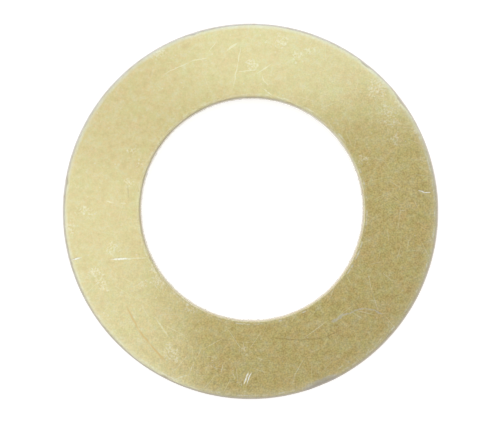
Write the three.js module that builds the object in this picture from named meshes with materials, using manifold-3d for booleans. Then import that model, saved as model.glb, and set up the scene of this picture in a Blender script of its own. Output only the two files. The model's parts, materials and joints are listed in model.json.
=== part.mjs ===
// A flat washer, stamped from cold-rolled steel strip: one flat ring with a round bolt hole.
//
// Millimetres, +Z up. The origin is the centre of the outside edge, on the lower bearing face, so the
// ring stands on z = 0. The punch entered from above, so the upper face has the rolled edges and the
// lower face has the torn ones.

import * as THREE from "three";
import { mergeVertices } from "three/addons/utils/BufferGeometryUtils.js";
import Module from "manifold-3d";

// Driving dimensions: a plain washer for a 3/4 inch bolt.
const OUTSIDE_DIAMETER = 33.3;
const HOLE_DIAMETER = 19.7;
const THICKNESS = 1.6;

// The hole was struck a little off the blank's centre, as stamping tolerances let it be.
const HOLE_OFFSET_X = 0.14;
const HOLE_OFFSET_Y = 0.17;

// The sheared edge, from the upper face down: the rolled shoulder, the straight burnished land, the
// torn zone that leans back into the metal, and the lower corner that tumbling has broken. The
// piercing punch fits its die more closely than the blanking one, so the hole is rolled less.
const OUTSIDE_ROLL_WIDTH = 0.25;
const HOLE_ROLL_WIDTH = 0.2;
const ROLL_DEPTH = 0.07;
const LAND_FOOT = 0.95;
const TEAR_LEAN = 0.05;
const CORNER_BREAK = 0.06;

// Fineness of the faceted solid, and how far the hole's cutter stands out of both faces.
const ROUND_SEGMENTS = 120;
const ROLL_STEPS = 4;
const CUTTER_STANDOUT = 1;

// The section of a sheared edge, from the lower face to the upper one. The metal lies on the axis's
// side of an outside edge (side = 1) and on the far side of a hole's edge (side = -1).
function shearedEdge(radius, side, rollWidth) {
  const points = [
    new THREE.Vector2(radius - side * (TEAR_LEAN + CORNER_BREAK), 0),
    new THREE.Vector2(radius - side * TEAR_LEAN, CORNER_BREAK),
    new THREE.Vector2(radius, LAND_FOOT),
  ];
  for (let step = 0; step <= ROLL_STEPS; step += 1) {
    const turn = (Math.PI / 2) * (step / ROLL_STEPS);
    const back = rollWidth * (1 - Math.cos(turn));
    const below = ROLL_DEPTH * (1 - Math.sin(turn));
    points.push(new THREE.Vector2(radius - side * back, THICKNESS - below));
  }
  return points;
}

// A turned solid about +Z. LatheGeometry turns about +Y, so it is stood up afterwards.
function turned(profile) {
  return new THREE.LatheGeometry(profile, ROUND_SEGMENTS).rotateX(Math.PI / 2);
}

// The disc that the blanking punch cuts from the strip, still without its hole.
function blank() {
  const edge = shearedEdge(OUTSIDE_DIAMETER / 2, 1, OUTSIDE_ROLL_WIDTH);
  return turned([new THREE.Vector2(0, 0), ...edge, new THREE.Vector2(0, THICKNESS)]);
}

// What the piercing punch takes away: the slug, lengthened past both faces.
function slug() {
  const edge = shearedEdge(HOLE_DIAMETER / 2, -1, HOLE_ROLL_WIDTH);
  const foot = -CUTTER_STANDOUT;
  const head = THICKNESS + CUTTER_STANDOUT;
  const profile = [
    new THREE.Vector2(0, foot),
    new THREE.Vector2(edge[0].x, foot),
    ...edge,
    new THREE.Vector2(edge[edge.length - 1].x, head),
    new THREE.Vector2(0, head),
  ];
  return turned(profile).translate(HOLE_OFFSET_X, HOLE_OFFSET_Y, 0);
}

const wasm = await Module();
wasm.setup();

// A closed geometry as a solid that can be cut. Triangles that the axis has flattened are dropped.
function solidOf(geometry) {
  geometry.deleteAttribute("normal");
  geometry.deleteAttribute("uv");
  const merged = mergeVertices(geometry);
  const corners = merged.index.array;
  const kept = [];
  for (let first = 0; first < corners.length; first += 3) {
    const [a, b, c] = corners.slice(first, first + 3);
    if (a !== b && b !== c && c !== a) {
      kept.push(a, b, c);
    }
  }
  const mesh = new wasm.Mesh({
    numProp: 3,
    vertProperties: new Float32Array(merged.attributes.position.array),
    triVerts: new Uint32Array(kept),
  });
  return new wasm.Manifold(mesh);
}

// A cut solid as a geometry again.
function geometryOf(solid) {
  const mesh = solid.getMesh();
  const geometry = new THREE.BufferGeometry();
  geometry.setAttribute("position", new THREE.BufferAttribute(mesh.vertProperties, 3));
  geometry.setIndex(new THREE.BufferAttribute(mesh.triVerts, 1));
  geometry.computeVertexNormals();
  return geometry;
}

// Steel with a yellow chromate finish over its plating.
const platedSteel = new THREE.MeshStandardMaterial({
  color: "#cdc18d",
  metalness: 1,
  roughness: 0.38,
  flatShading: true,
});

const ring = new THREE.Mesh(geometryOf(solidOf(blank()).subtract(solidOf(slug()))), platedSteel);
ring.name = "washer_ring";

const washer = new THREE.Group();
washer.add(ring);

export default washer;
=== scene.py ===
import json
import math

import bpy
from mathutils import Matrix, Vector, noise


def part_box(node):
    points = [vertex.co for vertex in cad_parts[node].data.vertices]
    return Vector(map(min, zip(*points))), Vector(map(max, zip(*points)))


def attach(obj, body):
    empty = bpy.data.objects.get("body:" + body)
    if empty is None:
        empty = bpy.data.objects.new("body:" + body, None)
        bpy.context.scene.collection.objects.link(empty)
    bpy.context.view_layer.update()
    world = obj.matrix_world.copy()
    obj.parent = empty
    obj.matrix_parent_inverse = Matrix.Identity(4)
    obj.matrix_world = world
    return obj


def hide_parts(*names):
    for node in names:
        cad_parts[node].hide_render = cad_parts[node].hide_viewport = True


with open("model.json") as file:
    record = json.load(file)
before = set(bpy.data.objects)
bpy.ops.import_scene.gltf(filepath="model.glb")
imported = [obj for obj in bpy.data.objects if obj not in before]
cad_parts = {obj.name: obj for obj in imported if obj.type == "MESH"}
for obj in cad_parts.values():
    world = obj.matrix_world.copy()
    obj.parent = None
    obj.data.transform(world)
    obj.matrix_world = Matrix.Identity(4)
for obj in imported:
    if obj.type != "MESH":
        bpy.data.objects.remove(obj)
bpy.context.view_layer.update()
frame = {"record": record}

# ---------------------------------------------------------------------------------------------
# The view. A close-up lens is held square over the washer, so both of its outlines are true
# circles and the sheared walls show only as a thin line inside the hole.

MM = 0.001
CAMERA_HEIGHT = 123.0  # above the upper face, where the frame is then 44.3 mm wide
CAMERA_OFFSET = (-0.044, 0.025)  # the washer lies this little off the lens's axis

washer_low, washer_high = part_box("washer_ring")

lens = bpy.data.cameras.new("close_up_lens")
lens.lens = 100
lens.sensor_width = 36
lens.clip_start = 5 * MM
lens.clip_end = 3000 * MM

camera = bpy.data.objects.new("close_up_camera", lens)
camera.location = (
    CAMERA_OFFSET[0] * MM,
    CAMERA_OFFSET[1] * MM,
    washer_high.z + CAMERA_HEIGHT * MM,
)
scene = bpy.context.scene
scene.collection.objects.link(camera)
scene.camera = camera
scene.view_settings.view_transform = "Standard"

# ---------------------------------------------------------------------------------------------
# The ring: one blank of cold-rolled steel strip, 1.6 mm thick. A press stamped its outside and
# pierced its hole in one stroke from above, then it was tumbled to knock off the burrs, and
# plated. Each sheared edge has, from the top, a rolled shoulder, a burnished land and a torn zone.

OUTSIDE_RADIUS = (washer_high.x - washer_low.x) / 2 / MM
THICKNESS = (washer_high.z - washer_low.z) / MM
HOLE_DIAMETER = 19.7
HOLE_RADIUS = HOLE_DIAMETER / 2

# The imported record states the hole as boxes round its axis, so the middle of one is the axis.
hole_low, hole_high = frame["record"]["physics"]["openings"][0]["box_m"]
HOLE_CENTRE = Vector(((hole_low[0] + hole_high[0]) / 2, (hole_low[1] + hole_high[1]) / 2, 0)) / MM

# The section of a sheared edge, in mm.
OUTSIDE_ROLL_WIDTH = 0.25
HOLE_ROLL_WIDTH = 0.2
ROLL_DEPTH = 0.07
LAND_FOOT = 0.95
TEAR_LEAN = 0.05
CORNER_BREAK = 0.06

# How unevenly it sheared: how long the bumps of each kind are, and how high, in mm. For the corner
# and the roll, the height is a share of their own width.
LAND_FOOT_WAVES = (1.4, 0.16)
LAND_FOOT_RAGS = (0.4, 0.07)
TORN_CRUMBS = (0.17, 0.030)
TORN_LUMPS = (0.45, 0.026)
CORNER_WAVES = (0.6, 0.5)
ROLL_WAVES = (2.6, 0.22)
FACE_WAVES = (7.0, 0.022)
FACE_RIPPLES = (2.6, 0.004)

# How much of the torn zone's crumbs and lumps is left at these places on the wall.
CORNER_SHARE = 0.4
TORN_HEAD_SHARE = 0.4
LAND_FOOT_SHARE = 0.12

# How finely the sections are cut, and how many of them go round the ring. Stations on a face are
# shares of the way across it.
SECTIONS = 960
CORNER_STEPS = 3
TEAR_STEPS = 7
LAND_STEPS = 3
ROLL_STEPS = 8
FACE_STATIONS = (0.006, 0.02, 0.05, 0.1, 0.2, 0.35, 0.5, 0.65, 0.8, 0.9, 0.95, 0.98, 0.994)

# Where knocks have flattened the outside shoulder: degrees round the ring, half the length of the
# flat in degrees, how much wider than the roll it is and how much lower, in mm.
SHOULDER_KNOCKS = (
    (293, 4.5, 0.55, 0.05),
    (52, 2.5, 0.22, 0.04),
    (36, 3.5, 0.18, 0.03),
    (318, 2.0, 0.12, 0.03),
    (171, 1.5, 0.15, 0.04),
    (108, 1.2, 0.12, 0.03),
    (243, 1.6, 0.14, 0.03),
)


def bump_at(point, length, height):
    """A smooth random height at a place, for bumps about `length` long. All are in mm."""
    return height * noise.noise(point / length)


def knock_at(angle):
    """How much a knock widens and lowers the outside shoulder at this angle, in mm."""
    wider = 0.0
    lower = 0.0
    for middle, half_length, width, depth in SHOULDER_KNOCKS:
        off = (math.degrees(angle) - middle + 180) % 360 - 180
        if abs(off) < half_length:
            share = math.cos(math.pi / 2 * off / half_length) ** 2
            wider = max(wider, width * share)
            lower = max(lower, depth * share)
    return wider, lower


def sheared_edge(angle, centre, radius, side, roll_width, knock):
    """One sheared edge's section, as points in mm from the lower face up to the upper one.

    The metal lies towards the centre from an outside edge (side = 1) and away from it at a hole's
    edge (side = -1).
    """
    outward = Vector((math.cos(angle), math.sin(angle), 0))
    rim = centre + outward * radius
    land_foot = LAND_FOOT + bump_at(rim, *LAND_FOOT_WAVES) + bump_at(rim, *LAND_FOOT_RAGS)
    land_head = THICKNESS - ROLL_DEPTH - knock[1]
    corner = CORNER_BREAK * (1 + bump_at(rim, *CORNER_WAVES))
    roll = roll_width * (1 + bump_at(rim, *ROLL_WAVES)) + knock[0]
    section = []

    def place(back, height, bumps):
        point = rim + Vector((0, 0, height))
        back += bumps * (bump_at(point, *TORN_CRUMBS) + bump_at(point, *TORN_LUMPS))
        section.append(rim - outward * side * back + Vector((0, 0, height)))

    for step in range(CORNER_STEPS):
        turn = math.pi / 2 * step / CORNER_STEPS
        back = TEAR_LEAN + corner * (1 - math.sin(turn))
        place(back, corner * (1 - math.cos(turn)), CORNER_SHARE)
    for step in range(TEAR_STEPS):
        share = step / TEAR_STEPS
        height = corner + (land_foot - corner) * share
        place(TEAR_LEAN * (1 - share), height, 1 - (1 - TORN_HEAD_SHARE) * share)
    for step in range(LAND_STEPS):
        share = step / LAND_STEPS
        height = land_foot + (land_head - land_foot) * share
        place(0, height, LAND_FOOT_SHARE * (1 - share))
    for step in range(ROLL_STEPS + 1):
        turn = math.pi / 2 * step / ROLL_STEPS
        height = land_head + (THICKNESS - land_head) * math.sin(turn)
        place(roll * (1 - math.cos(turn)), height, 0)
    return section


def ring_section(angle):
    """The closed section through the ring at this angle, in mm."""
    hole = sheared_edge(angle, HOLE_CENTRE, HOLE_RADIUS, -1, HOLE_ROLL_WIDTH, (0, 0))
    outside = sheared_edge(angle, Vector(), OUTSIDE_RADIUS, 1, OUTSIDE_ROLL_WIDTH, knock_at(angle))
    upper = [hole[-1].lerp(outside[-1], station) for station in FACE_STATIONS]
    lower = [outside[0].lerp(hole[0], station) for station in FACE_STATIONS]
    section = hole + upper + outside[::-1] + lower
    for point in section:
        flat = Vector((point.x, point.y, 0))
        waviness = bump_at(flat, *FACE_WAVES) + bump_at(flat, *FACE_RIPPLES)
        point.z += waviness * point.z / THICKNESS
    return section


sections = [ring_section(2 * math.pi * turn / SECTIONS) for turn in range(SECTIONS)]
around = len(sections[0])
corners = [tuple(point * MM) for section in sections for point in section]
quads = []
for turn in range(SECTIONS):
    here = turn * around
    there = (turn + 1) % SECTIONS * around
    for step in range(around):
        ahead = (step + 1) % around
        quads.append((here + step, here + ahead, there + ahead, there + step))

ring_mesh = bpy.data.meshes.new("washer_ring_fine")
ring_mesh.from_pydata(corners, [], quads)
ring_mesh.shade_smooth()

# The zone of each point, in the order of ring_section, for the finish to tell the zones apart.
edge_zones = ["torn"] * (CORNER_STEPS + TEAR_STEPS) + ["land"] * LAND_STEPS
edge_zones += ["roll"] * (ROLL_STEPS + 1)
face_zones = ["face"] * len(FACE_STATIONS)
zones = edge_zones + face_zones + edge_zones[::-1] + face_zones
for zone in ("torn", "land"):
    marked = ring_mesh.attributes.new(zone, "FLOAT", "POINT")
    marked.data.foreach_set("value", [float(found == zone) for found in zones] * SECTIONS)

ring = bpy.data.objects.new("washer_ring_fine", ring_mesh)
scene.collection.objects.link(ring)

# The ring's finish: zinc-plated steel dipped in yellow chromate. The thin clear film over the satin
# metal gives a pale yellow with greenish and tan clouds, and a second, sharper gloss of its own.
# Where the film has rubbed through, on the shoulders and in scratches, the plating shows silver.

# The sizes of its patterns, in mm. The plating's crystals and the strip's grain are really a tenth
# as big: they are drawn as coarse as they need to be to show.
CLOUD = 1.6
FILM_PATCH = 0.6
HUE_SPECK = 0.17
CRYSTAL = 0.13
ROLLED_GRAIN = 0.13
FLECK = 0.15
GAP_IN_MARK = 0.2
STRAY_OF_MARK = 0.5
WEAR_PATCH = 1.0
PUNCH_STREAK = 0.14
TORN_CRUMB = 0.16

# How strongly the specks play in red, green and blue and in shade, as shares.
HUE_PLAY = (0.17, 0.08, 0.06)
SHADE_PLAY = 0.35

# The crystals' shade and the hairlines are painted stronger towards this side, until this far out,
# in mm: a painted glint, where the face reflects dark and its grain and scratches catch the lamps.
GLINT_PAINTED_WAY = (0.707, -0.707, 0)
GLINT_PAINTED_REACH = 9.0
HAIRLINE_STRENGTH = 0.65

# The edges' wear: how far in from the edge each kind reaches, in mm, and how much of it there is at
# the edge itself. The shoulders are worn more towards one side, where their bare silver is also a
# painted highlight.
PALER_REACH = 1.0
PALER_AT_OUTSIDE = 0.14
WORN_REACH = 0.5
WORN_AT_OUTSIDE = 0.85
WORN_AT_HOLE = 0.35
WEAR_AND_HIGHLIGHT_WAY = (-0.4, 0.92, 0)
BARE_REACH = 0.22
BARE_AT_OUTSIDE = 0.7
BARE_AT_HOLE = 0.42

# The line that is rubbed bright beside them: how far in it is, and its size, in mm.
LINE_INSET = 0.33
LINE_HALF_WIDTH = 0.09

# How far below the upper face its marks and wear have ended, and start to fade, in mm.
UPPER_ENDS = 0.2
UPPER_FADES = 0.1

# The heights of the finish's relief, in mm. The film levels out half of the strip's grain.
HAIRLINE_DEPTH = 0.003
SCRATCH_DEPTH = 0.01
STREAK_HEIGHT = 0.02
CRUMB_HEIGHT = 0.08
GRAIN_HEIGHT = 0.004
GRAIN_HEIGHT_ON_FILM = 0.002

# The metal's roughness, and how much the crystals and the torn zone change it.
SATIN = 0.5
CRYSTAL_GLOSS = 0.12
TORN_DULLNESS = 0.25

# What each kind of mark does to the film, from the lowest up: how much it covers, and its colour.
MARK_KINDS = {
    "pale": (0.5, "#dedbc6"),
    "flecked": (0.5, "#e6e2d8"),
    "tan": (0.9, "#bd9b50"),
    "brown": (0.4, "#8d7648"),
    "rubbed": (0.6, "#c5c3c1"),
    "zinc": (1.0, "#f0efec"),
}

# The marks that stand out on the upper face: their kind, their width in mm, and the points that
# they run through, in mm.
MARKS = (
    ("tan", 0.24, (-10.95, -8.5), (-9.95, -10.45), (-8.95, -11.7), (-7.7, -13.15)),
    ("zinc", 0.24, (-12.2, -4.25), (-10.8, -4.2)),
    ("pale", 0.16, (-10.9, -4.2), (-9.3, -4.1)),
    ("zinc", 0.2, (-15.75, -4.3), (-15.1, -4.1)),
    ("pale", 0.2, (-8.3, -9.6), (-7.3, -11.1)),
    ("pale", 0.15, (-6.7, -14.9), (-5.4, -14.4), (-5.1, -13.5)),
    ("pale", 0.14, (-2.45, -13.5), (-2.6, -14.35)),
    ("zinc", 0.18, (-0.55, -15.2), (-0.2, -14.3)),
    ("zinc", 0.14, (-0.35, -15.3), (0.05, -14.3)),
    ("zinc", 0.12, (14.95, 1.85), (15.4, 1.65), (15.9, 1.7)),
    ("pale", 0.12, (13.2, 0.1), (13.8, 0.1)),
    ("pale", 0.1, (10.4, -5.5), (10.8, -7.2), (11.3, -8.8)),
    ("rubbed", 0.34, (7.3, -9.75), (7.7, -9.55), (8.1, -9.2)),
    ("rubbed", 0.16, (8.0, -9.25), (8.8, -9.05), (9.3, -8.75), (10.2, -8.6), (11.0, -8.75)),
    ("rubbed", 0.16, (11.0, -8.75), (11.6, -9.1)),
    ("brown", 0.14, (2.0, -11.2), (4.2, -11.4), (6.5, -11.2), (8.2, -10.4)),
    ("pale", 0.12, (-0.9, 14.4), (-1.1, 13.1), (-1.5, 11.1)),
    ("pale", 0.12, (-1.1, 12.4), (0.6, 12.5)),
    ("pale", 0.14, (0.75, 12.3), (1.75, 13.0)),
    ("pale", 0.1, (1.05, 12.0), (1.2, 11.5), (1.6, 11.2)),
    ("pale", 0.14, (1.15, 10.8), (1.9, 10.3)),
    ("pale", 0.22, (-2.0, 14.3), (-1.25, 14.85)),
    ("pale", 0.1, (-3.65, 14.2), (-3.1, 14.9)),
    ("pale", 0.1, (-5.3, 13.3), (-3.8, 13.6)),
    ("pale", 0.1, (-7.6, 12.2), (-5.4, 13.2)),
    ("brown", 0.14, (-10.9, 2.3), (-10.8, 1.2)),
    ("pale", 0.16, (-12.7, 0.9), (-12.2, 0.75)),
    ("pale", 0.14, (-11.5, 0.75), (-11.1, 0.7)),
    ("rubbed", 0.75, (5.0, -15.7), (5.6, -15.4), (6.3, -15.1), (7.5, -14.65)),
    ("pale", 0.15, (11.3, -11.65), (11.6, -11.2)),
    ("pale", 0.15, (10.3, -12.55), (10.55, -12.15)),
    ("pale", 0.15, (7.7, -14.0), (8.2, -13.65)),
)

# Patches of fine pale flecks on the upper face: the middle and the radius of each, in mm.
FLECKED = (
    (-13.8, -5.4, 0.7),
    (-13.1, -6.4, 0.7),
    (-9.6, -6.5, 0.5),
    (-8.2, -6.2, 0.7),
    (-8.6, -5.1, 0.5),
    (-12.2, -3.2, 0.6),
    (-10.7, 2.5, 0.5),
    (-9.9, 4.2, 0.4),
    (-10.3, 5.2, 0.5),
    (-14.8, 0.0, 0.5),
    (-15.9, -1.4, 0.4),
    (-7.0, -12.6, 1.0),
    (-5.2, -8.6, 0.6),
    (-3.4, -13.5, 0.4),
    (-1.5, -14.6, 0.3),
    (-0.9, -15.2, 0.3),
    (-0.5, -12.4, 0.4),
    (0.0, 12.9, 0.6),
    (1.6, 14.9, 0.5),
    (2.8, 15.0, 0.7),
    (4.2, 13.8, 0.5),
    (5.4, 14.2, 0.6),
    (-8.1, 14.1, 0.7),
    (11.2, 10.9, 1.1),
    (12.2, 8.8, 0.8),
    (12.7, 8.0, 0.8),
    (12.9, 6.4, 0.6),
    (13.2, 9.7, 0.5),
    (14.6, 7.1, 0.4),
    (9.9, 4.5, 0.6),
)


def colour(code):
    """An sRGB hex colour as the linear values that the shaders take."""
    parts = [int(code[first : first + 2], 16) / 255 for first in (1, 3, 5)]
    linear = [part / 12.92 if part <= 0.04045 else ((part + 0.055) / 1.055) ** 2.4 for part in parts]
    return (*linear, 1.0)


def material(name):
    """An empty material with nodes."""
    made = bpy.data.materials.new(name)
    made.use_nodes = True
    made.node_tree.nodes.clear()
    return made


def add(tree, kind, inputs=None, out=0, **settings):
    """Adds a node with its settings. Each input is given a value or linked to another's output."""
    made = tree.nodes.new("ShaderNode" + kind)
    for name, value in settings.items():
        setattr(made, name, value)
    for key, value in (inputs or {}).items():
        if isinstance(value, bpy.types.NodeSocket):
            tree.links.new(value, made.inputs[key])
        else:
            made.inputs[key].default_value = value
    return made.outputs[out] if made.outputs else made


chromate = material("yellow_chromate_on_zinc_plate")
face = chromate.node_tree
at = add(face, "TexCoord", out="Object")
at = add(face, "VectorMath", {0: at, "Scale": 1 / MM}, operation="SCALE")  # in mm from here on
plan = add(face, "VectorMath", {0: at, 1: (1, 1, 0)}, operation="MULTIPLY")

# This is 1 on the upper face and its shoulders, and 0 on the walls and the lower face.
upper = add(face, "SeparateXYZ", {0: at}, out="Z")
upper = add(face, "MapRange", {0: upper, 1: THICKNESS - UPPER_ENDS, 2: THICKNESS - UPPER_FADES})

# The film's colour: clouds of greenish and tan yellow a millimetre or two across, and within them a
# finer play of thin film, which is paler, and thick film, which is yellower.
clouds = {"Vector": at, "Scale": 1 / CLOUD, "Detail": 4.0, "Roughness": 0.75}
clouds = add(face, "TexNoise", clouds)
clouds = add(face, "MapRange", {0: clouds, 1: 0.3, 2: 0.7})
film = {0: clouds, 6: colour("#beb57a"), 7: colour("#c7af7c")}
film = add(face, "Mix", film, out=2, data_type="RGBA")
thinness = {"Vector": at, "Scale": 1 / FILM_PATCH, "Detail": 3.0, "Roughness": 0.8}
thinness = add(face, "TexNoise", thinness)
for extreme, code in ((0.8, "#c6be9a"), (0.2, "#b7a264")):
    amount = add(face, "MapRange", {0: thinness, 1: 0.5, 2: extreme})
    film = {0: amount, 6: film, 7: colour(code)}
    film = add(face, "Mix", film, out=2, data_type="RGBA")

# The plating's crystals under it give specks of slightly different hue and shade.
specks = add(face, "TexNoise", {"Vector": at, "Scale": 1 / HUE_SPECK, "Detail": 1.0}, out="Color")
hues = {0: specks, 1: HUE_PLAY, 2: [1 - play / 2 for play in HUE_PLAY]}
hues = add(face, "VectorMath", hues, operation="MULTIPLY_ADD")
film = add(face, "VectorMath", {0: film, 1: hues}, operation="MULTIPLY")
# Towards one side the specks' shade is painted stronger: a painted glint of the grain where the face
# reflects dark.
glint_painted_side = {0: plan, 1: GLINT_PAINTED_WAY}
glint_painted_side = add(face, "VectorMath", glint_painted_side, out="Value", operation="DOT_PRODUCT")
glint_painted_side = {0: glint_painted_side, 1: -GLINT_PAINTED_REACH, 2: GLINT_PAINTED_REACH, 3: 0.4, 4: 1.5}
glint_painted_side = add(face, "MapRange", glint_painted_side)
crystals = add(face, "TexNoise", {"Vector": at, "Scale": 1 / CRYSTAL, "Detail": 0.0})
crystals = add(face, "Math", {0: crystals, 1: 0.5}, operation="SUBTRACT")
crystals = add(face, "Math", {0: crystals, 1: glint_painted_side}, operation="MULTIPLY")
shades = add(face, "Math", {0: crystals, 1: SHADE_PLAY, 2: 1.0}, operation="MULTIPLY_ADD")
film = add(face, "VectorMath", {0: film, "Scale": shades}, operation="SCALE")


def strokes(spacing, length, width, share, seed):
    """Short straight marks at random angles, one to a cell `spacing` wide in `share` of the cells.

    It is 1 along the middle of a mark and 0 between the marks, which are from a third of `length`
    up to all of it. Sizes are in mm.
    """
    moved = add(face, "VectorMath", {0: at, 1: (seed, -seed, 0)})
    cell = {"Vector": moved, "Scale": 1 / spacing}
    middle = add(face, "TexVoronoi", cell, out="Position", voronoi_dimensions="2D")
    chance = add(face, "SeparateColor", {0: middle.node.outputs["Color"]})
    local = add(face, "VectorMath", {0: moved, 1: middle}, operation="SUBTRACT")
    angle = add(face, "Math", {0: chance, 1: 2 * math.pi}, operation="MULTIPLY")
    turned = {"Vector": local, "Angle": angle}
    turned = add(face, "VectorRotate", turned, rotation_type="Z_AXIS")
    along = add(face, "SeparateXYZ", {0: turned})
    across = add(face, "Math", {0: along.node.outputs["Y"]}, operation="ABSOLUTE")
    along = add(face, "Math", {0: along}, operation="ABSOLUTE")
    reach = {0: chance.node.outputs["Green"], 1: length * 0.35, 2: length * 0.15}
    reach = add(face, "Math", reach, operation="MULTIPLY_ADD")
    along = add(face, "Math", {0: along, 1: reach}, operation="DIVIDE")
    taper = {0: along, 1: 0.3, 2: 1.0, 3: 1.0, 4: 0.0}
    taper = add(face, "MapRange", taper, interpolation_type="SMOOTHSTEP")
    body = {0: across, 1: width * 0.15, 2: width * 0.6, 3: 1.0, 4: 0.0}
    body = add(face, "MapRange", body, interpolation_type="SMOOTHSTEP")
    drawn = {0: chance.node.outputs["Blue"], 1: 0.0, 2: share, 3: 1.0, 4: 0.0}
    drawn = add(face, "MapRange", drawn)
    mark = add(face, "Math", {0: taper, 1: body}, operation="MULTIPLY")
    return add(face, "Math", {0: mark, 1: drawn}, operation="MULTIPLY")


# Handling marks that come at random: hairlines, soft scuffs and small nicks.
hairlines = strokes(spacing=2.6, length=4.5, width=0.045, share=1.0, seed=3.1)
more_hairlines = strokes(spacing=1.7, length=2.4, width=0.035, share=1.0, seed=57.9)
scuffs = strokes(spacing=2.1, length=1.3, width=0.26, share=0.5, seed=17.7)
nicks = strokes(spacing=0.9, length=0.22, width=0.14, share=0.5, seed=31.3)
hairlines = add(face, "Math", {0: hairlines, 1: more_hairlines}, operation="MAXIMUM")
# The hairlines are painted stronger towards one side, a painted glint.
hairlines = add(face, "Math", {0: hairlines, 1: glint_painted_side}, operation="MULTIPLY")
hairlines = add(face, "Math", {0: hairlines, 1: HAIRLINE_STRENGTH}, operation="MULTIPLY")


def strayed(reach, detail):
    """The place in plan, up to half of `reach` mm off, because the film tears out of line."""
    off = {"Vector": at, "Scale": 1 / STRAY_OF_MARK, "Detail": detail}
    off = add(face, "TexNoise", off, out="Color")
    off = {0: off, 1: (reach, reach, 0), 2: (-reach / 2, -reach / 2, 0)}
    off = add(face, "VectorMath", off, operation="MULTIPLY_ADD")
    return add(face, "VectorMath", {0: plan, 1: off})


# Each run of a mark is an ellipse, and each patch of flecks a ragged circle: 0 at its middle and 1
# at its rim. The nearest one of a kind counts.
nearest = {kind: 1.0 for kind in MARK_KINDS}
wandering = strayed(reach=0.16, detail=1.0)
for kind, width, *points in MARKS:
    for start, stop in zip(points, points[1:]):
        run = Vector(stop) - Vector(start)
        middle = (Vector(start) + Vector(stop)) / 2
        half_length = run.length * 0.64 + width / 2  # so that two runs' tapering ends overlap
        lie = {
            "Vector": wandering,
            "Location": (*middle, 0),
            "Rotation": (0, 0, math.atan2(run.y, run.x)),
            "Scale": (half_length, width / 2, 1),
        }
        lie = add(face, "Mapping", lie, vector_type="TEXTURE")
        away = add(face, "VectorMath", {0: lie}, out="Value", operation="LENGTH")
        nearest[kind] = add(face, "Math", {0: nearest[kind], 1: away}, operation="MINIMUM")
ragged = strayed(reach=2.0, detail=2.0)
for x, y, radius in FLECKED:
    away = add(face, "VectorMath", {0: ragged, 1: (x, y, 0)}, out="Value", operation="DISTANCE")
    away = add(face, "Math", {0: away, 1: radius}, operation="DIVIDE")
    nearest["flecked"] = add(face, "Math", {0: nearest["flecked"], 1: away}, operation="MINIMUM")

# How much of each kind shows. All but the tan ones have gaps.
gaps = add(face, "TexNoise", {"Vector": at, "Scale": 1 / GAP_IN_MARK, "Detail": 1.0})
gaps = add(face, "MapRange", {0: gaps, 1: 0.3, 2: 0.5, 3: 0.4, 4: 1.0})
shown = {}
for kind, away in nearest.items():
    mark = add(face, "MapRange", {0: away, 1: 1.0, 2: 0.5})
    if kind != "tan":
        mark = add(face, "Math", {0: mark, 1: gaps}, operation="MULTIPLY")
    shown[kind] = add(face, "Math", {0: mark, 1: upper}, operation="MULTIPLY")
flecks = add(face, "TexNoise", {"Vector": at, "Scale": 1 / FLECK, "Detail": 1.0})
flecks = add(face, "MapRange", {0: flecks, 1: 0.4, 2: 0.7})
shown["flecked"] = add(face, "Math", {0: shown["flecked"], 1: flecks}, operation="MULTIPLY")

# How far a place is from the edges, in mm.
from_outside = add(face, "VectorMath", {0: plan}, out="Value", operation="LENGTH")
from_outside = add(face, "Math", {0: OUTSIDE_RADIUS, 1: from_outside}, operation="SUBTRACT")
from_hole = {0: plan, 1: tuple(HOLE_CENTRE)}
from_hole = add(face, "VectorMath", from_hole, out="Value", operation="DISTANCE")
from_hole = add(face, "Math", {0: from_hole, 1: HOLE_RADIUS}, operation="SUBTRACT")

# The film is a little paler near the outside edge, and painted paler still towards one side, where
# the extra paleness is a painted highlight.
paler = {0: from_outside, 1: PALER_REACH, 2: 0.3, 3: 0.0, 4: PALER_AT_OUTSIDE}
paler = add(face, "MapRange", paler)
paler = add(face, "Math", {0: paler, 1: glint_painted_side}, operation="MULTIPLY")

# The shoulders lose their film first, in patches, and more on one side than on the other, where
# the extra silver is a painted highlight.
patches = {"Vector": at, "Scale": 1 / WEAR_PATCH, "Detail": 4.0, "Roughness": 0.8}
patches = add(face, "TexNoise", patches)
worn = {0: from_outside, 1: WORN_REACH, 2: 0.05, 3: 0.0, 4: WORN_AT_OUTSIDE}
worn = add(face, "MapRange", worn)
worn_at_hole = {0: from_hole, 1: WORN_REACH, 2: 0.0, 3: 0.0, 4: WORN_AT_HOLE}
worn_at_hole = add(face, "MapRange", worn_at_hole)
worn = add(face, "Math", {0: worn, 1: worn_at_hole}, operation="MAXIMUM")
worn_patches = add(face, "MapRange", {0: patches, 1: 0.3, 2: 0.6, 3: 0.5, 4: 1.1})
# More wear towards one side: there its bare silver is a painted highlight.
wear_and_highlight_side = {0: plan, 1: WEAR_AND_HIGHLIGHT_WAY}
wear_and_highlight_side = add(face, "VectorMath", wear_and_highlight_side, out="Value", operation="DOT_PRODUCT")
wear_and_highlight_side = {0: wear_and_highlight_side, 1: -OUTSIDE_RADIUS, 2: OUTSIDE_RADIUS, 3: 0.25, 4: 1.3}
wear_and_highlight_side = add(face, "MapRange", wear_and_highlight_side)
for share in (worn_patches, wear_and_highlight_side, upper):
    worn = add(face, "Math", {0: worn, 1: share}, operation="MULTIPLY")

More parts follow.
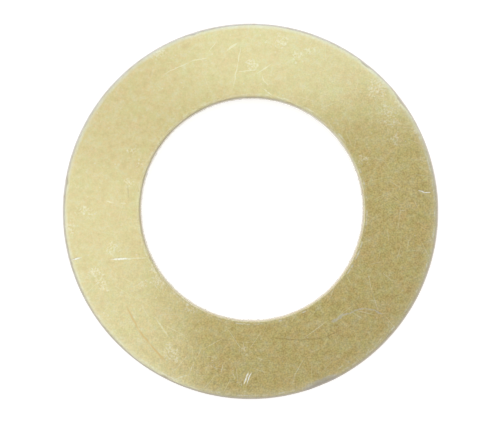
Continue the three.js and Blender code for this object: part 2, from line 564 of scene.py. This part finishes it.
# They are bare and bright where they meet the walls.
bare = {0: from_outside, 1: BARE_REACH, 2: 0.02, 3: 0.0, 4: BARE_AT_OUTSIDE}
bare = add(face, "MapRange", bare)
bare_at_hole = {0: from_hole, 1: BARE_REACH, 2: 0.02, 3: 0.0, 4: BARE_AT_HOLE}
bare_at_hole = add(face, "MapRange", bare_at_hole)
bare = add(face, "Math", {0: bare, 1: bare_at_hole}, operation="MAXIMUM")
bare_patches = add(face, "MapRange", {0: patches, 1: 0.35, 2: 0.55, 3: 0.6, 4: 1.0})
for share in (bare_patches, upper):
    bare = add(face, "Math", {0: bare, 1: share}, operation="MULTIPLY")

# Where they meet the flat face, a thin broken line is rubbed bright, and painted stronger towards
# one side as a painted highlight.
line = add(face, "Math", {0: from_outside, 1: from_hole}, operation="MINIMUM")
line = add(face, "Math", {0: line, 1: LINE_INSET}, operation="SUBTRACT")
line = add(face, "Math", {0: line}, operation="ABSOLUTE")
line = add(face, "MapRange", {0: line, 1: LINE_HALF_WIDTH, 2: 0.02})
line_patches = add(face, "MapRange", {0: patches, 1: 0.5, 2: 0.62, 3: 0.0, 4: 0.5})
for share in (line_patches, glint_painted_side, upper):
    line = add(face, "Math", {0: line, 1: share}, operation="MULTIPLY")

# The sheared walls: the burnished land is bright, with fine streaks that run the punch's way, and
# the torn zone is dull and crumbly. The raised streaks are painted lighter, a painted highlight, and
# the hollows between the crumbs darker, a painted shade.
land = add(face, "Attribute", out="Fac", attribute_name="land")
torn = add(face, "Attribute", out="Fac", attribute_name="torn")
punched = add(face, "VectorMath", {0: at, 1: (1, 1, 0.06)}, operation="MULTIPLY")
streaks = add(face, "TexNoise", {"Vector": punched, "Scale": 1 / PUNCH_STREAK, "Detail": 3.0})
# Painted highlight: the land is painted lighter where its streaks stand raised.
painted_highlight_streaks = add(face, "MapRange", {0: streaks, 1: 0.4, 2: 0.65, 3: 0.1, 4: 0.75})
painted_highlight_streaks = add(face, "Math", {0: painted_highlight_streaks, 1: land}, operation="MULTIPLY")
streaks = add(face, "Math", {0: streaks, 1: land}, operation="MULTIPLY")
crumbs = {"Vector": at, "Scale": 1 / TORN_CRUMB, "Detail": 3.0, "Roughness": 0.7}
crumbs = add(face, "TexNoise", crumbs)
# Painted shade: the torn zone is painted darker in the hollows between its crumbs.
painted_shade_hollows = add(face, "MapRange", {0: crumbs, 1: 0.4, 2: 0.7, 3: 0.75, 4: 0.1})
painted_shade_hollows = add(face, "Math", {0: painted_shade_hollows, 1: torn}, operation="MULTIPLY")
crumbs = add(face, "Math", {0: crumbs, 1: torn}, operation="MULTIPLY")

# The film with all that shows over it, from the lowest up: where, how much it covers, its colour.
skin = film
for where, cover, code in (
    (paler, 1.0, "#ece8d4"),
    (worn, 1.0, "#cdd1d0"),
    (bare, 1.0, "#f4f2ec"),
    (scuffs, 0.22, "#d4d0bc"),
    (hairlines, 1.0, "#dcd8c0"),
    (nicks, 0.4, "#d6d6d0"),
    (line, 1.0, "#dddcd4"),
    *((shown[kind], *look) for kind, look in MARK_KINDS.items()),
    (painted_highlight_streaks, 1.0, "#cdcbb8"),
    (painted_shade_hollows, 1.0, "#8f8357"),
):
    covered = add(face, "Math", {0: where, 1: cover}, operation="MULTIPLY")
    skin = {0: covered, 6: skin, 7: colour(code)}
    skin = add(face, "Mix", skin, out=2, data_type="RGBA")

# The relief: grooves and crumbs, and over them the strip's grain, which is a little longer along
# the rolling direction. Heights are in mm until the bump nodes.
grooves = 0.0
for where, height in (
    (hairlines, -HAIRLINE_DEPTH),
    (shown["zinc"], -SCRATCH_DEPTH),
    (streaks, STREAK_HEIGHT),
    (crumbs, CRUMB_HEIGHT),
):
    grooves = add(face, "Math", {0: where, 1: height, 2: grooves}, operation="MULTIPLY_ADD")
strip = add(face, "VectorMath", {0: at, 1: (1, 0.8, 1)}, operation="MULTIPLY")
grain = add(face, "TexNoise", {"Vector": strip, "Scale": 1 / ROLLED_GRAIN, "Detail": 0.0})
metal_relief = {0: grain, 1: GRAIN_HEIGHT, 2: grooves}
metal_relief = add(face, "Math", metal_relief, operation="MULTIPLY_ADD")
metal_relief = add(face, "Bump", {"Height": metal_relief, "Distance": MM})
film_relief = {0: grain, 1: GRAIN_HEIGHT_ON_FILM, 2: grooves}
film_relief = add(face, "Math", film_relief, operation="MULTIPLY_ADD")
film_relief = add(face, "Bump", {"Height": film_relief, "Distance": MM})

# The brighter crystals are also the glossier ones, and the torn zone is dull.
satin = add(face, "Math", {0: crystals, 1: -CRYSTAL_GLOSS, 2: SATIN}, operation="MULTIPLY_ADD")
satin = add(face, "Math", {0: torn, 1: TORN_DULLNESS, 2: satin}, operation="MULTIPLY_ADD")

# The film's own gloss is the coat's: smooth, and stronger than a lacquer's, as the film is denser.
shader = add(
    face,
    "BsdfPrincipled",
    {
        "Base Color": skin,
        "Metallic": 1.0,
        "Roughness": satin,
        "Normal": metal_relief,
        "Coat Weight": 1.0,
        "Coat Roughness": 0.12,
        "Coat IOR": 1.8,
        "Coat Normal": film_relief,
    },
)
add(face, "OutputMaterial", {"Surface": shader})
ring_mesh.materials.append(chromate)

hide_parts("washer_ring")
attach(ring, "root")

# ---------------------------------------------------------------------------------------------
# The table: a sheet of matt white laminate. It gives off light of its own, so that it shows as
# plain white under lamps that are soft enough for the washer.

TABLE_REACH = 1400
TABLE_GAP = 0.02  # between the table and the washer, so that their surfaces don't coincide

table_mesh = bpy.data.meshes.new("white_table")
reach = TABLE_REACH * MM
table_corners = [(-reach, -reach, 0), (reach, -reach, 0), (reach, reach, 0), (-reach, reach, 0)]
table_mesh.from_pydata(table_corners, [], [(0, 1, 2, 3)])
table = bpy.data.objects.new("white_table", table_mesh)
table.location.z = washer_low.z - TABLE_GAP * MM
scene.collection.objects.link(table)

laminate = material("matt_white_laminate")
shader = add(
    laminate.node_tree,
    "BsdfPrincipled",
    {
        "Base Color": colour("#bcbcbc"),
        "Roughness": 0.7,
        "Emission Color": colour("#ffffff"),
        "Emission Strength": 0.75,
    },
)
add(laminate.node_tree, "OutputMaterial", {"Surface": shader})
table_mesh.materials.append(laminate)

# ---------------------------------------------------------------------------------------------
# The lamps: three rectangular softboxes under the ceiling, which face straight down. The washer's
# bright area, across its left and its back, is their reflection.

CEILING = 400

# Each one's middle, its width and depth in mm, its radiance and its tint.
SOFTBOXES = (
    ("overhead_left", (-75, -60), (90, 160), 2.64, (0.94, 1.0, 0.76)),
    ("overhead_corner", (-75, 70), (90, 100), 1.6, (0.97, 1.0, 0.81)),
    ("overhead_back", (45, 85), (150, 90), 2.86, (0.895, 1.0, 0.77)),
)

for name, middle, (width, depth), radiance, tint in SOFTBOXES:
    light = bpy.data.lights.new(name, "AREA")
    light.shape = "RECTANGLE"
    light.size = width * MM
    light.size_y = depth * MM
    light.energy = 4 * radiance * light.size * light.size_y  # an area lamp's own measure
    light.color = tint
    lamp = bpy.data.objects.new(name, light)
    lamp.location = Vector((*middle, CEILING)) * MM
    lamp.visible_camera = False
    scene.collection.objects.link(lamp)

# ---------------------------------------------------------------------------------------------
# The room: white walls all round, under a darker ceiling. They are brightest behind, and two that
# face each other across the table have a window.

WALL_LIGHT = 0.76
MORE_LIGHT_BEHIND = 0.4
MORE_LIGHT_AT_WINDOWS = 0.42
CEILING_LIGHT = 0.22
ROOM_TINT = (1.01, 0.94, 0.96, 1)

# Which way the back wall and the windows are, and how far up the ceiling takes over from the walls,
# as the height of a direction of length 1.
BACK_WALL_WAY = (-0.13, 0.99, 0)
WINDOW_WAY = (0.88, -0.47, 0)
WALL_HEAD = 0.55
CEILING_START = 0.985

world = bpy.data.worlds.new("white_room")
world.use_nodes = True
room = world.node_tree
room.nodes.clear()
way = add(room, "TexCoord", out="Generated")
behind = {0: way, 1: BACK_WALL_WAY}
behind = add(room, "VectorMath", behind, out="Value", operation="DOT_PRODUCT")
windows = {0: way, 1: WINDOW_WAY}
windows = add(room, "VectorMath", windows, out="Value", operation="DOT_PRODUCT")
windows = add(room, "Math", {0: windows}, operation="ABSOLUTE")
walls = WALL_LIGHT
for where, more in ((behind, MORE_LIGHT_BEHIND), (windows, MORE_LIGHT_AT_WINDOWS)):
    walls = add(room, "Math", {0: where, 1: more, 2: walls}, operation="MULTIPLY_ADD")
rise = add(room, "SeparateXYZ", {0: way}, out="Z")
rise = {0: rise, 1: WALL_HEAD, 2: CEILING_START}
rise = add(room, "MapRange", rise, interpolation_type="SMOOTHSTEP")
glow = add(room, "Mix", {0: rise, 2: walls, 3: CEILING_LIGHT}, data_type="FLOAT")
glow = add(room, "Background", {"Color": ROOM_TINT, "Strength": glow})
add(room, "OutputWorld", {"Surface": glow})
scene.world = world
